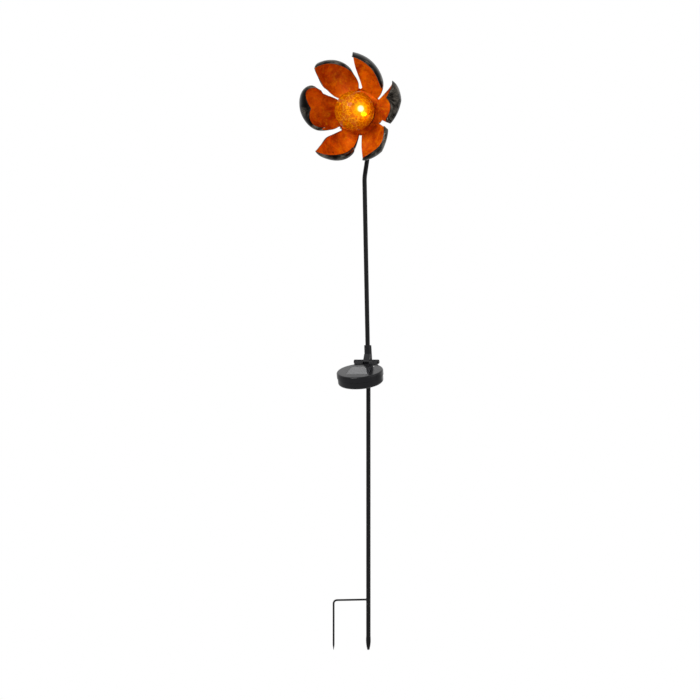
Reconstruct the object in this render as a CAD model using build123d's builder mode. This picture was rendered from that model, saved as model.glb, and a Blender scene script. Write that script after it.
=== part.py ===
"""Solar garden light: a stamped metal flower with a glass ball, on a bent pole over a solar panel and stake.

Millimetres, +Z up. The origin is on the lower pole's axis at the soil line, which is the underside of the
step prong's crossbar. The flower and the panel face -Y.
"""
from build123d import *
from math import cos, pi, radians, sin, tan
import os

os.makedirs("parts", exist_ok=True)

# ---- clearances ----
running_gap = 0.05  # radial, between a shaft and the bore it turns in
seat_gap = 0.1  # between end faces that turn or slide on each other
slip_gap = 0.3  # round glass, rubber and plastic faces that only lie against each other

# ---- ground stake and step prong ----
stake_depth = 79.0
spike_length = 22.0
spike_swell = 6.0
spike_pinch = (7.8, 5.0)
spike_tip = (3.2, 1.6)
pole_d = 7.0
pole_wall = 1.0
prong_d = 3.0
prong_reach = 56.0
prong_turn = 23.0
prong_droop = 1.1
prong_bend = 5.5
prong_point = 8.0
weld_leg = 1.5

# ---- coupler between the two poles ----
coupler_z = 384.5
coupler_h = 24.0
coupler_foot_d = 12.3
coupler_top_d = 11.5
socket_depth = 12.0
web_t = 2.0
knuckle_d = 7.0
knuckle_w = 10.0
hinge_forward = 10.0
hinge_drop = 2.5
hinge_pin_d = 3.0
bar_length = 42.0
cap_h = 2.0

# ---- upper pole ----
stem_d = 7.2
stem_wall = 1.0
stem_offset = -1.0
stem_bend = (-6.5, 0.0, 676.0)
stem_corner = (-2.0, 35.0, 773.0)
stem_bend_r = 30.0
stem_corner_r = 14.0
neck_run = 53.0
neck_inside = 20.0
lead_d = 1.6

# ---- flower ----
bloom_turn = 7.0
bloom_pitch = 8.0
sheet_t = 0.8
crease_r = 35.2
petal_tip_w = 1.2
slit_r = 1.6
slit_gap = 1.0
slit_share = 0.3  # of the length, along which neighbours keep the gap
slit_ease = 90.0
slit_depth = 5.0
ball_hole_r = 24.2
# Each petal is hand bent, so each has its own values: direction, twist and side sway, then the slope at
# the crease and at the tip with the exponent between them, the length, the half width at the root and at
# its widest, the place and taper of that, the cross curvature at the root and beyond cup_place, the keel
# at the tip, and for its two sides a share of the half width and how far the edge rolls in.
petals = [
    dict(turn=10.6, twist=-18, sway=4, rise=6, curl=169, ramp=1.94, length=93, root=15.9, half=38.9,
         place=0.63, taper=1.7, root_k=0.008, cup_k=0.017, cup_place=0.24, keel=33, keel_ramp=3.6,
         sides=(1.12, 0.92), rolls=(0.2, 0.6)),
    dict(turn=61.7, twist=-6, sway=21, rise=20, curl=125, ramp=1.39, length=113, root=16.4, half=37.5,
         place=0.43, taper=2.1, root_k=0.017, cup_k=0.022, cup_place=0.22, keel=0, keel_ramp=3.5,
         sides=(1.18, 0.92), rolls=(0.5, 0.0)),
    dict(turn=120.9, twist=17, sway=16, rise=1, curl=140, ramp=1.60, length=106, root=16.2, half=42.0,
         place=0.45, taper=2.4, root_k=0.023, cup_k=0.034, cup_place=0.25, keel=35, keel_ramp=3.6,
         sides=(1.04, 1.09), rolls=(0.4, 0.2)),
    dict(turn=183.8, twist=19, sway=2, rise=36, curl=189, ramp=2.22, length=118, root=17.2, half=52.2,
         place=0.71, taper=1.4, root_k=0.010, cup_k=0.019, cup_place=0.21, keel=0, keel_ramp=2.6,
         sides=(1.12, 1.09), rolls=(1.5, 0.9)),
    dict(turn=252.5, twist=-30, sway=-16, rise=12, curl=116, ramp=1.21, length=107, root=15.8, half=38.3,
         place=0.44, taper=2.5, root_k=0.031, cup_k=0.025, cup_place=0.55, keel=38, keel_ramp=3.3,
         sides=(1.05, 1.02), rolls=(1.2, 2.0)),
    dict(turn=303.9, twist=23, sway=15, rise=17, curl=129, ramp=2.57, length=85, root=17.8, half=38.4,
         place=0.80, taper=2.5, root_k=0.017, cup_k=0.015, cup_place=0.32, keel=27, keel_ramp=3.9,
         sides=(0.93, 1.08), rolls=(0.4, 0.2)),
]
root_fold = 1.0  # the petals keep a faint fold down the middle, in degrees
root_stations = 6
tip_stations = 9

# ---- lamp ----
ball_r = 32.0
ball_wall = 2.5
ball_stand = 23.0
neck_r = 12.0
neck_depth = 14.0
seal_lip = 1.6
cup_r = 25.0
cup_flange_r = 29.0
cup_depth = 26.0
cup_t = 1.0
cup_round = 6.0
nut_flat = 13.0
nut_h = 3.5
nut_room_r = 9.0
board_t = 1.0
led_r = 2.5
led_h = 8.6

# ---- solar panel ----
panel_r = 37.5
panel_tilt = 18.5
lid_h = 9.0
lid_top_t = 2.2
lid_wall = 2.0
lid_round = 2.5
hinge_reach = 3.5
hinge_above = 1.0
seam = 0.6
tub_inset = 1.0
tub_h = 11.4
tub_wall = 2.0
tub_floor = 2.2
tub_round = 4.0
cell_w = 35.0
cell_t = 0.4
recess_w = 36.0
recess_t = 1.3
post_r = 3.0
post_inset = 8.5
boss_r = 4.0
screw_r = 1.4
screw_head_r = 2.5
screw_head_h = 1.8
battery_r = 5.25
battery_l = 44.5
battery_nub_r = 1.9
battery_nub_h = 1.2
battery_x = -2.0
battery_y = -8.0
contact_t = 0.3
spring_h = 1.4
cradle_t = 1.2
hatch_gap = 0.4
door = (56.5, 14.0)
door_x = 0.75
door_t = 1.3
door_corner = 4.0
door_screw_x = 25.5
board = (30.0, 16.0, 1.2)
board_y = 10.5
board_drop = 8.2
switch_y = 22.0
switch_body = (9.0, 5.4, 4.0)
knob = (3.0, 2.2)
knob_flange = (4.4, 3.4, 0.6)
knob_travel = 3.0
knob_proud = 0.8

# ---- places worked out from the sizes above ----
pole_r = pole_d / 2
stem_r = stem_d / 2
pin_r = hinge_pin_d / 2
knuckle_r = knuckle_d / 2
web_z = coupler_z + socket_depth
coupler_top = coupler_z + coupler_h
hinge_z = coupler_z - hinge_drop
spike_top = spike_length - stake_depth
prong_out = Vector(-cos(radians(prong_turn)), -sin(radians(prong_turn)), 0)

bloom_axis = Vector(0, 0, 1).rotate(Axis.X, 90 - bloom_pitch).rotate(Axis.Z, -bloom_turn)
bloom_right = Vector(1, 0, 0).rotate(Axis.Z, -bloom_turn)
bloom_centre = Vector(*stem_corner) + bloom_axis * neck_run
bloom_plane = Plane(origin=bloom_centre, x_dir=bloom_right, z_dir=bloom_axis)

tub_r = panel_r - tub_inset
post_ring = panel_r - post_inset
hinge_back = panel_r + hinge_reach
hinge_plane = Plane(origin=(0, -hinge_forward, hinge_z), x_dir=(0, 1, 0), z_dir=(1, 0, 0))
panel_normal = Vector(0, 0, 1).rotate(Axis.X, panel_tilt)
panel_rear = Vector(0, 1, 0).rotate(Axis.X, panel_tilt)
panel_top = hinge_plane.origin - panel_rear * hinge_back - panel_normal * hinge_above
panel_plane = Plane(origin=panel_top, x_dir=(1, 0, 0), z_dir=panel_normal)
seam_z = -lid_h
tub_top = seam_z - seam
tub_bottom = tub_top - tub_h
floor_z = tub_bottom + tub_floor
post_spots = [(post_ring * cos(radians(a)), post_ring * sin(radians(a))) for a in (30, 150, 270)]
hatch = (battery_l + hatch_gap, 2 * battery_r + 1)
battery_z = floor_z - (tub_floor - door_t) + 0.5 + battery_r
plus_x = battery_x + battery_l / 2
minus_x = battery_x - battery_l / 2 - spring_h
board_z = -board_drop


def write(builder, name):
    builder.part.label = name
    export_step(builder.part, f"parts/{name}.step")


# ================= ground stake =================
with BuildPart() as lower_pole:
    with BuildSketch(Plane.XY.offset(spike_top)):
        Circle(pole_r)
    extrude(amount=web_z - seat_gap - spike_top)
    with BuildSketch(Plane.XY.offset(spike_top + spike_swell)):
        Circle(pole_r - pole_wall)
    extrude(amount=web_z - spike_top, mode=Mode.SUBTRACT)
    # the pinched point: round, then swollen sideways, then a narrow blade
    with BuildSketch(Plane.XY.offset(spike_top)):
        Circle(pole_r)
    with BuildSketch(Plane.XY.offset(spike_top - spike_swell)):
        Ellipse(spike_pinch[0] / 2, spike_pinch[1] / 2)
    with BuildSketch(Plane.XY.offset(-stake_depth)):
        Ellipse(spike_tip[0] / 2, spike_tip[1] / 2)
    loft()
write(lower_pole, "lower_pole")

# ---- step prong: a crossbar that droops a little, a bend and a pointed leg ----
bar_start = Vector(0, 0, prong_d / 2)
bar_corner = bar_start + prong_out * prong_reach - Vector(0, 0, prong_reach * tan(radians(prong_droop)))
leg_foot = Vector(bar_corner.X, bar_corner.Y, prong_point - stake_depth)
with BuildPart() as step_prong:
    with BuildLine() as prong_path:
        FilletPolyline(bar_start, bar_corner, leg_foot, radius=prong_bend)
    with BuildSketch(Plane(origin=bar_start, z_dir=prong_path.line % 0)):
        Circle(prong_d / 2)
    sweep(path=prong_path.line)
    with BuildSketch(Plane(origin=leg_foot, z_dir=(0, 0, -1))):
        Circle(prong_d / 2)
    extrude(amount=prong_point, taper=9)
    with BuildSketch(Plane.XY.offset(-stake_depth)):
        Circle(pole_r)
    extrude(amount=2 * stake_depth, mode=Mode.SUBTRACT)
write(step_prong, "step_prong")

# ---- the weld round the crossbar's end ----
with BuildPart() as weld_bead:
    with BuildSketch(Plane(origin=bar_start + prong_out * (pole_r - 1), z_dir=prong_path.line % 0)):
        Circle(prong_d / 2 + weld_leg)
    extrude(amount=weld_leg + 1.2, taper=38)
    with BuildSketch(Plane.XY.offset(-stake_depth)):
        Circle(pole_r)
    extrude(amount=2 * stake_depth, mode=Mode.SUBTRACT)
    with BuildSketch(Plane(origin=bar_start, z_dir=prong_path.line % 0)):
        Circle(prong_d / 2)
    extrude(amount=prong_reach / 2, mode=Mode.SUBTRACT)
write(weld_bead, "weld_bead")

# ================= coupler and hinge =================
stem_foot = Vector(stem_offset, 0, web_z + web_t + seat_gap)
stem_axis = (Vector(*stem_bend) - stem_foot).normalized()
with BuildPart() as coupler:
    with BuildSketch(Plane.XY.offset(coupler_z)):
        Circle(coupler_foot_d / 2)
    with BuildSketch(Plane.XY.offset(coupler_top)):
        with Locations((stem_offset, 0)):
            Circle(coupler_top_d / 2)
    loft()
    fillet(coupler.edges().group_by(Axis.Z)[-1], 0.8)
    # the arm that carries the hinge knuckle in front of the sleeve
    with BuildSketch(Plane.YZ.offset(-knuckle_w / 2)):
        with BuildLine():
            Polyline(
                (-pole_r - 0.6, coupler_z),
                (-pole_r - 0.6, coupler_z + 10),
                (-pole_r - 3.2, coupler_z + 10),
                (-hinge_forward - knuckle_r * 0.86, hinge_z + knuckle_r * 0.5),
                (-hinge_forward, hinge_z),
                (-hinge_forward + knuckle_r * 0.94, hinge_z - knuckle_r * 0.34),
                close=True,
            )
        make_face()
    extrude(amount=knuckle_w)
    with BuildSketch(hinge_plane.offset(-knuckle_w / 2)):
        Circle(knuckle_r)
    extrude(amount=knuckle_w)
    with BuildSketch(hinge_plane.offset(-knuckle_w)):
        Circle(pin_r + running_gap)
    extrude(amount=2 * knuckle_w, mode=Mode.SUBTRACT)
    with BuildSketch(Plane.XY.offset(coupler_z - 10)):
        Circle(pole_r + running_gap)
    extrude(amount=socket_depth + 10, mode=Mode.SUBTRACT)
    with BuildSketch(Plane.XY.offset(coupler_z)):
        Circle(stem_r - stem_wall - 0.6)
    extrude(amount=coupler_h, mode=Mode.SUBTRACT)
    with BuildSketch(Plane(origin=stem_foot - stem_axis * seat_gap, z_dir=stem_axis)):
        Circle(stem_r + running_gap)
    extrude(amount=coupler_h, mode=Mode.SUBTRACT)
write(coupler, "coupler")

half_bar = bar_length / 2 - cap_h
with BuildPart() as hinge_pin:
    with BuildSketch(hinge_plane.offset(-half_bar)):
        Circle(pin_r)
    extrude(amount=2 * half_bar)
    with BuildSketch(hinge_plane.offset(half_bar)):
        Circle(knuckle_r)
    extrude(amount=cap_h)
    fillet(hinge_pin.edges().group_by(Axis.X)[-1], cap_h * 0.8)
write(hinge_pin, "hinge_pin")

with BuildPart() as hinge_nut:
    with BuildSketch(hinge_plane.offset(-half_bar - cap_h)):
        Circle(knuckle_r)
    extrude(amount=cap_h)
    fillet(hinge_nut.edges().group_by(Axis.X)[0], cap_h * 0.8)
write(hinge_nut, "hinge_nut")

# ================= upper pole and the lamp's lead inside it =================
stem_end = bloom_centre - bloom_axis * neck_inside
with BuildPart() as upper_pole:
    with BuildLine() as stem_path:
        FilletPolyline(stem_foot, stem_bend, stem_corner, stem_end, radius=[stem_bend_r, stem_corner_r])
    with BuildSketch(Plane(origin=stem_foot, z_dir=stem_path.line % 0)):
        Circle(stem_r)
        Circle(stem_r - stem_wall, mode=Mode.SUBTRACT)
    sweep(path=stem_path.line)
write(upper_pole, "upper_pole")

board_back = -neck_depth - board_t - 0.5
lead_top = bloom_centre + bloom_axis * board_back
with BuildPart() as led_lead:
    with BuildLine() as lead_path:
        FilletPolyline(stem_foot, stem_bend, stem_corner, lead_top, radius=[stem_bend_r, stem_corner_r])
    with BuildSketch(Plane(origin=stem_foot, z_dir=lead_path.line % 0)):
        Circle(lead_d / 2)
    sweep(path=lead_path.line)
write(led_lead, "led_lead")
lead_length = sum(edge.length for edge in lead_path.edges())
lead_share = led_lead.part.volume / (pi * (lead_d / 2) ** 2 * lead_length)
print(f"lead: length {lead_length:.1f}, radii {stem_bend_r} and {stem_corner_r}")
print(f"lead: volume share {lead_share:.4f}")


# ================= flower =================
def spine(petal, s):
    """Distance out from the crease, height and slope of a petal's middle line at the fraction s."""
    steps = 60
    out = 0.0
    up = 0.0
    for i in range(steps):
        share = (s * (i + 0.5) / steps) ** petal["ramp"]
        slope = radians(petal["rise"] + (petal["curl"] - petal["rise"]) * share)
        out += cos(slope) * petal["length"] * s / steps
        up += sin(slope) * petal["length"] * s / steps
    slope = radians(petal["rise"] + (petal["curl"] - petal["rise"]) * s ** petal["ramp"])
    return out, up, slope


def half_width(petal, s, side):
    """Half width of the petal's sheet on one side, measured round its curve."""
    if s < petal["place"]:
        wide = petal["root"] + (petal["half"] - petal["root"]) * sin(pi / 2 * s / petal["place"])
    else:
        beyond = (s - petal["place"]) / (1 - petal["place"])
        wide = petal["half"] * (1 - beyond ** petal["taper"])
    spread = tan(radians(petal["steps"][side] / 2))
    root = (crease_r * spread - slit_gap) * max(1 - s / slit_share, 0)
    between = (crease_r + max(spine(petal, s)[0], 0)) * spread - slit_gap
    between = between + slit_ease * max(s - slit_share, 0)
    return max(min(max(wide * petal["sides"][side], root), between), petal_tip_w)


def stations(petal):
    """Fractions of the petal's length: even steps to the widest place, then even steps in width."""
    place = petal["place"]
    root = [place * i / root_stations for i in range(root_stations)]
    tip = [place + (1 - place) * (i / tip_stations) ** (1 / petal["taper"]) for i in range(tip_stations + 1)]
    return root + tip


def station_plane(petal, s):
    """The plane across the petal at the fraction s: its y points into the flower."""
    turn = radians(petal["turn"])
    outward = bloom_plane.x_dir * cos(turn) + bloom_plane.y_dir * sin(turn)
    across = bloom_plane.y_dir * cos(turn) - bloom_plane.x_dir * sin(turn)
    out, up, slope = spine(petal, s)
    origin = bloom_centre + outward * (crease_r - sheet_t + out) + bloom_axis * (up - sheet_t / 2)
    origin = origin + across * (petal["sway"] * s * s)
    inward = bloom_axis * cos(slope) - outward * sin(slope)
    twist = radians(petal["twist"] * s)
    return Plane(
        origin=origin,
        x_dir=across * cos(twist) + inward * sin(twist),
        z_dir=outward * cos(slope) + bloom_axis * sin(slope),
    )


def petal_section(petal, s):
    """A thin arched band, folded to a keel in the middle near the tip, its edges rolled in."""
    blend = min(s / petal["cup_place"], 1)
    k = petal["root_k"] + (petal["cup_k"] - petal["root_k"]) * blend * blend * (3 - 2 * blend)
    keel = radians(root_fold + petal["keel"] * s ** petal["keel_ramp"])

    def rim(share, side, face):
        """A point at that share of the half width, on the face that far from the sheet's middle."""
        steps = 24
        wide = half_width(petal, s, side)
        x = 0.0
        y = 0.0
        for i in range(steps):
            part = share * (i + 0.5) / steps
            turn = keel + wide * k * (part + petal["rolls"][side] * part ** 4)
            x += cos(turn) * wide * share / steps
            y += sin(turn) * wide * share / steps
        turn = keel + wide * k * (share + petal["rolls"][side] * share ** 4)
        x -= face * sin(turn)
        y += face * cos(turn)
        return (x if side else -x, y)

    outer = -sheet_t / 2
    inner = sheet_t / 2
    with BuildSketch(station_plane(petal, s)) as band:
        with BuildLine():
            ThreePointArc(rim(1, 0, outer), rim(0.5, 0, outer), (0, outer / cos(keel)))
            ThreePointArc((0, outer / cos(keel)), rim(0.5, 1, outer), rim(1, 1, outer))
            Line(rim(1, 1, outer), rim(1, 1, inner))
            ThreePointArc(rim(1, 1, inner), rim(0.5, 1, inner), (0, inner / cos(keel)))
            ThreePointArc((0, inner / cos(keel)), rim(0.5, 0, inner), rim(1, 0, inner))
            Line(rim(1, 0, inner), rim(1, 0, outer))
        make_face()
    return band.sketch.face()


# the plate's corners lie where the creases of neighbouring petals would meet
plate_corners = []
for i, petal in enumerate(petals):
    before = (petal["turn"] - petals[i - 1]["turn"]) % 360
    after = (petals[(i + 1) % len(petals)]["turn"] - petal["turn"]) % 360
    petal["steps"] = (before, after)
    reach = crease_r / cos(radians(after / 2))
    middle = radians(petal["turn"] + after / 2)
    plate_corners.append((reach * cos(middle), reach * sin(middle)))

with BuildPart() as bloom:
    with BuildSketch(bloom_plane.offset(-sheet_t)):
        Polygon(*plate_corners, align=None)
    extrude(amount=sheet_t)
    for petal in petals:
        loft(sections=[petal_section(petal, s) for s in stations(petal)], ruled=True)
    with BuildSketch(bloom_plane):
        with Locations(*plate_corners):
            Circle(slit_r)
    extrude(amount=slit_depth, both=True, mode=Mode.SUBTRACT)
    with BuildSketch(bloom_plane):
        Circle(ball_hole_r)
    extrude(amount=slit_depth, both=True, mode=Mode.SUBTRACT)
write(bloom, "bloom")

# ================= lamp =================
with BuildPart(bloom_plane) as glass_ball:
    with Locations((0, 0, ball_stand)):
        Sphere(ball_r)
    with Locations((0, 0, -neck_depth)):
        Cylinder(neck_r, ball_stand - 20 + neck_depth, align=(Align.CENTER, Align.CENTER, Align.MIN))
    with Locations((0, 0, ball_stand)):
        Sphere(ball_r - ball_wall, mode=Mode.SUBTRACT)
    with Locations((0, 0, -neck_depth)):
        Cylinder(
            neck_r - 2,
            ball_stand - 20 + neck_depth,
            align=(Align.CENTER, Align.CENTER, Align.MIN),
            mode=Mode.SUBTRACT,
        )
write(glass_ball, "glass_ball")

# the ball lies in this ring, which fills the hole in the plate
with BuildPart(bloom_plane) as ball_seal:
    with BuildSketch(bloom_plane):
        Circle(ball_hole_r + seal_lip)
    extrude(amount=sheet_t)
    with BuildSketch(bloom_plane.offset(-sheet_t)):
        Circle(ball_hole_r - running_gap)
    extrude(amount=sheet_t)
    with Locations((0, 0, ball_stand)):
        Sphere(ball_r + slip_gap / 2, mode=Mode.SUBTRACT)
write(ball_seal, "ball_seal")

cup_top = -sheet_t
cup_floor = cup_top - cup_depth
with BuildPart() as back_cup:
    with BuildSketch(bloom_plane.offset(cup_floor)):
        Circle(cup_r)
    extrude(amount=cup_depth)
    fillet(back_cup.faces().sort_by(Axis(bloom_centre, bloom_axis))[0].edges(), cup_round)
    offset(amount=-cup_t, openings=back_cup.faces().sort_by(Axis(bloom_centre, bloom_axis))[-1])
    with BuildSketch(bloom_plane.offset(cup_top - cup_t)):
        Circle(cup_flange_r)
        Circle(cup_r - cup_t / 2, mode=Mode.SUBTRACT)
    extrude(amount=cup_t)
    with BuildSketch(bloom_plane.offset(cup_floor - 1)):
        Circle(stem_r + running_gap)
    extrude(amount=cup_t + 2, mode=Mode.SUBTRACT)
write(back_cup, "back_cup")

# plastic holder: seat for the ball, bore for its neck, shelf for the board and room for the nut
socket_floor = cup_floor + cup_t
nut_room_top = board_back - 0.8
with BuildPart(bloom_plane) as lamp_socket:
    with BuildSketch(bloom_plane.offset(socket_floor)):
        Circle(cup_r - cup_t - slip_gap)
    extrude(amount=cup_top - 0.2 - socket_floor)
    fillet(
        lamp_socket.faces().sort_by(Axis(bloom_centre, bloom_axis))[0].edges(),
        cup_round - cup_t,
    )
    with Locations((0, 0, ball_stand)):
        Sphere(ball_r + slip_gap, mode=Mode.SUBTRACT)
    with BuildSketch(bloom_plane.offset(-neck_depth - board_t - 0.5)):
        Circle(neck_r + running_gap)
    extrude(amount=neck_depth + 10, mode=Mode.SUBTRACT)
    with BuildSketch(bloom_plane.offset(socket_floor)):
        Circle(nut_room_r)
    extrude(amount=nut_room_top - socket_floor, mode=Mode.SUBTRACT)
    with BuildSketch(bloom_plane.offset(socket_floor)):
        Circle(lead_d / 2 + 0.4)
    extrude(amount=neck_depth, mode=Mode.SUBTRACT)
write(lamp_socket, "lamp_socket")

with BuildPart() as stem_nut:
    with BuildSketch(bloom_plane.offset(socket_floor)):
        RegularPolygon(nut_flat / 2, 6, major_radius=False)
        Circle(stem_r + running_gap, mode=Mode.SUBTRACT)
    extrude(amount=nut_h)
write(stem_nut, "stem_nut")

with BuildPart() as led_board:
    with BuildSketch(bloom_plane.offset(board_back)):
        Circle(neck_r - 0.2)
    extrude(amount=board_t)
write(led_board, "led_board")

with BuildPart() as led:
    with BuildSketch(bloom_plane.offset(board_back + board_t)):
        Circle(led_r + 0.4)
    extrude(amount=1)
    with BuildSketch(bloom_plane.offset(board_back + board_t)):
        Circle(led_r)
    extrude(amount=led_h)
    fillet(led.edges().sort_by(Axis(bloom_centre, bloom_axis))[-1], led_r * 0.96)
write(led, "led")

# ================= solar panel =================
notch_r = knuckle_r + 0.4
notch_w = knuckle_w + 2 * seat_gap
ear_w = half_bar - seat_gap - notch_w / 2
with BuildPart(panel_plane) as panel_lid:
    with BuildSketch(panel_plane.offset(seam_z)):
        Circle(panel_r)
    extrude(amount=lid_h)
    fillet(panel_lid.edges().sort_by(Axis(panel_top, panel_normal))[-1], lid_round)
    with BuildSketch(panel_plane.offset(seam_z)):
        Circle(panel_r - lid_wall)
    extrude(amount=lid_h - lid_top_t, mode=Mode.SUBTRACT)
    with BuildSketch(panel_plane.offset(-recess_t)):
        Rectangle(recess_w, recess_w)
    extrude(amount=recess_t, mode=Mode.SUBTRACT)
    with BuildSketch(panel_plane.offset(-lid_top_t)):
        Rectangle(6, 3)
    extrude(amount=lid_top_t, mode=Mode.SUBTRACT)
    # two ears at the rear, one on each side of the coupler's knuckle
    for side in (-1, 1):
        ear_plane = Plane(
            origin=panel_plane.from_local_coords((side * (notch_w + ear_w) / 2, 0, 0)),
            x_dir=panel_rear,
            z_dir=(1, 0, 0),
        )
        with BuildSketch(ear_plane):
            with BuildLine():
                Polyline(
                    (panel_r - 5.5, -lid_h + 1),
                    (panel_r - 5.5, -lid_round),
                    (hinge_back - knuckle_r * 0.7, hinge_above + knuckle_r * 0.71),
                    (hinge_back, hinge_above),
                    (hinge_back + knuckle_r * 0.94, hinge_above - knuckle_r * 0.34),
                    (panel_r - 2, -lid_h + 1),
                    close=True,
                )
            make_face()
            with Locations((hinge_back, hinge_above)):
                Circle(knuckle_r)
        extrude(amount=ear_w / 2, both=True)
    with BuildSketch(hinge_plane):
        Circle(pin_r + running_gap)
    extrude(amount=bar_length, both=True, mode=Mode.SUBTRACT)
    with BuildSketch(hinge_plane):
        Circle(notch_r)
    extrude(amount=notch_w / 2, both=True, mode=Mode.SUBTRACT)
    with BuildSketch(panel_plane.offset(seam_z)):
        Circle(panel_r - lid_wall)
    extrude(amount=lid_h - lid_top_t, mode=Mode.SUBTRACT)
    with BuildSketch(panel_plane.offset(seam_z)):
        with Locations(*post_spots):
            Circle(post_r)
    extrude(amount=lid_h - lid_top_t)
    with BuildSketch(panel_plane.offset(seam_z)):
        with Locations(*post_spots):
            Circle(screw_r + running_gap)
    extrude(amount=lid_h - lid_top_t - 1, mode=Mode.SUBTRACT)
write(panel_lid, "panel_lid")

with BuildPart() as solar_cell:
    with BuildSketch(panel_plane.offset(-recess_t)):
        Rectangle(cell_w, cell_w)
    extrude(amount=cell_t)
write(solar_cell, "solar_cell")

with BuildPart() as cell_window:
    with BuildSketch(panel_plane.offset(cell_t - recess_t)):
        RectangleRounded(recess_w - 0.1, recess_w - 0.1, 0.3)
    extrude(amount=recess_t - cell_t)
write(cell_window, "cell_window")

# the seal fills the seam a little behind the two shells' faces, round the tub's upstanding rim
rim_outer = panel_r - lid_wall - slip_gap
rim_h = 2.4
with BuildPart() as housing_seal:
    with BuildSketch(panel_plane.offset(tub_top)):
        Circle(tub_r - 0.3)
        Circle(rim_outer + running_gap, mode=Mode.SUBTRACT)
    extrude(amount=seam)
write(housing_seal, "housing_seal")

slot = (knob[0] + knob_travel + 0.4, knob[1] + 0.3)
room = (knob_flange[0] + knob_travel + 0.3, knob_flange[1] + 0.3, 2.2)
with BuildPart() as panel_base:
    with BuildSketch(panel_plane.offset(tub_bottom)):
        Circle(tub_r)
    extrude(amount=tub_h)
    fillet(panel_base.edges().sort_by(Axis(panel_top, panel_normal))[0], tub_round)
    with BuildSketch(panel_plane.offset(tub_top)):
        Circle(rim_outer)
    extrude(amount=rim_h)
    with BuildSketch(panel_plane.offset(floor_z)):
        Circle(tub_r - tub_wall - 1)
    extrude(amount=tub_h + rim_h, mode=Mode.SUBTRACT)
    # posts under the lid's posts, the board's two posts and the boss of the door's screw
    with BuildSketch(panel_plane.offset(floor_z)):
        with Locations(*post_spots):
            Circle(boss_r)
    extrude(amount=seam_z - floor_z)
    with BuildSketch(panel_plane.offset(floor_z)):
        with Locations((-11, board_y), (11, board_y)):
            Circle(2.2)
    extrude(amount=board_z - floor_z)
    with BuildSketch(panel_plane.offset(floor_z)):
        with Locations((door_screw_x, battery_y)):
            Circle(2.6)
    extrude(amount=5)
    # end walls that hold the battery's contacts
    with BuildSketch(panel_plane.offset(floor_z)):
        with Locations(
            (plus_x + contact_t + cradle_t / 2, battery_y),
            (minus_x - contact_t - cradle_t / 2, battery_y),
        ):
            Rectangle(cradle_t, 9)
    extrude(amount=8)
    # the hatch with its ledge, the switch's slot and the screw holes
    with BuildSketch(panel_plane.offset(tub_bottom)):
        with Locations((battery_x, battery_y)):
            Rectangle(*hatch)
    extrude(amount=tub_floor, mode=Mode.SUBTRACT)
    with BuildSketch(panel_plane.offset(tub_bottom)):
        with Locations((door_x, battery_y)):
            RectangleRounded(door[0] + 0.4, door[1] + 0.4, door_corner)
    extrude(amount=door_t, mode=Mode.SUBTRACT)
    with BuildSketch(panel_plane.offset(tub_bottom)):
        with Locations((door_screw_x, battery_y)):
            Circle(screw_r + running_gap)
    extrude(amount=tub_floor + 4, mode=Mode.SUBTRACT)
    with BuildSketch(panel_plane.offset(tub_bottom)):
        with Locations((0, switch_y)):
            RectangleRounded(*slot, 0.4)
    extrude(amount=tub_floor, mode=Mode.SUBTRACT)
    with BuildSketch(panel_plane.offset(tub_bottom)):
        with Locations(*post_spots):
            Circle(screw_r + 0.2)
    extrude(amount=tub_h + 1, mode=Mode.SUBTRACT)
    with BuildSketch(panel_plane.offset(tub_bottom)):
        with Locations(*post_spots):
            Circle(screw_head_r + 0.3)
    extrude(amount=screw_head_h + 3, mode=Mode.SUBTRACT)
write(panel_base, "panel_base")

screw_seat = tub_bottom + screw_head_h + 3
with BuildPart() as housing_screws:
    with BuildSketch(panel_plane.offset(screw_seat - screw_head_h)):
        with Locations(*post_spots):
            Circle(screw_head_r)
    extrude(amount=screw_head_h)
    with BuildSketch(panel_plane.offset(screw_seat)):
        with Locations(*post_spots):
            Circle(screw_r)
    extrude(amount=seam_z + 4 - screw_seat)
write(housing_screws, "housing_screws")

with BuildPart() as battery_door:
    with BuildSketch(panel_plane.offset(tub_bottom)):
        with Locations((door_x, battery_y)):
            RectangleRounded(*door, door_corner - 0.2)
    extrude(amount=door_t)
    with BuildSketch(panel_plane.offset(tub_bottom)):
        with Locations((door_screw_x, battery_y)):
            Circle(screw_r + 0.2)
    extrude(amount=door_t, mode=Mode.SUBTRACT)
    with BuildSketch(panel_plane.offset(tub_bottom)):
        with Locations((-door[0] / 2 + door_x + 6, battery_y)):
            with GridLocations(2, 0, 3, 1):
                Rectangle(0.8, 7)
    extrude(amount=0.4, mode=Mode.SUBTRACT)
write(battery_door, "battery_door")

with BuildPart() as door_screw:
    with BuildSketch(panel_plane.offset(tub_bottom - 1.2)):
        with Locations((door_screw_x, battery_y)):
            Circle(screw_head_r)
    extrude(amount=1.2)
    with BuildSketch(panel_plane.offset(tub_bottom)):
        with Locations((door_screw_x, battery_y)):
            Circle(screw_r)
    extrude(amount=5.5)
write(door_screw, "door_screw")

with BuildPart(panel_plane) as battery:
    with Locations(Location((battery_x - battery_nub_h / 2, battery_y, battery_z), (0, 90, 0))):
        Cylinder(battery_r, battery_l - battery_nub_h)
    with Locations(Location((plus_x - battery_nub_h / 2 - 0.5, battery_y, battery_z), (0, 90, 0))):
        Cylinder(battery_nub_r, battery_nub_h + 1)
write(battery, "battery")

with BuildPart(panel_plane) as contact_plus:
    with Locations((plus_x + contact_t / 2, battery_y, battery_z)):
        Box(contact_t, 7, 7)
write(contact_plus, "contact_plus")

with BuildPart(panel_plane) as contact_minus:
    with Locations((minus_x - contact_t / 2, battery_y, battery_z)):
        Box(contact_t, 7, 7)
    with Locations(Location((minus_x + spring_h / 2, battery_y, battery_z), (0, 90, 0))):
        Cone(battery_r * 0.6, battery_r * 0.4, spring_h)
write(contact_minus, "contact_minus")

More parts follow.
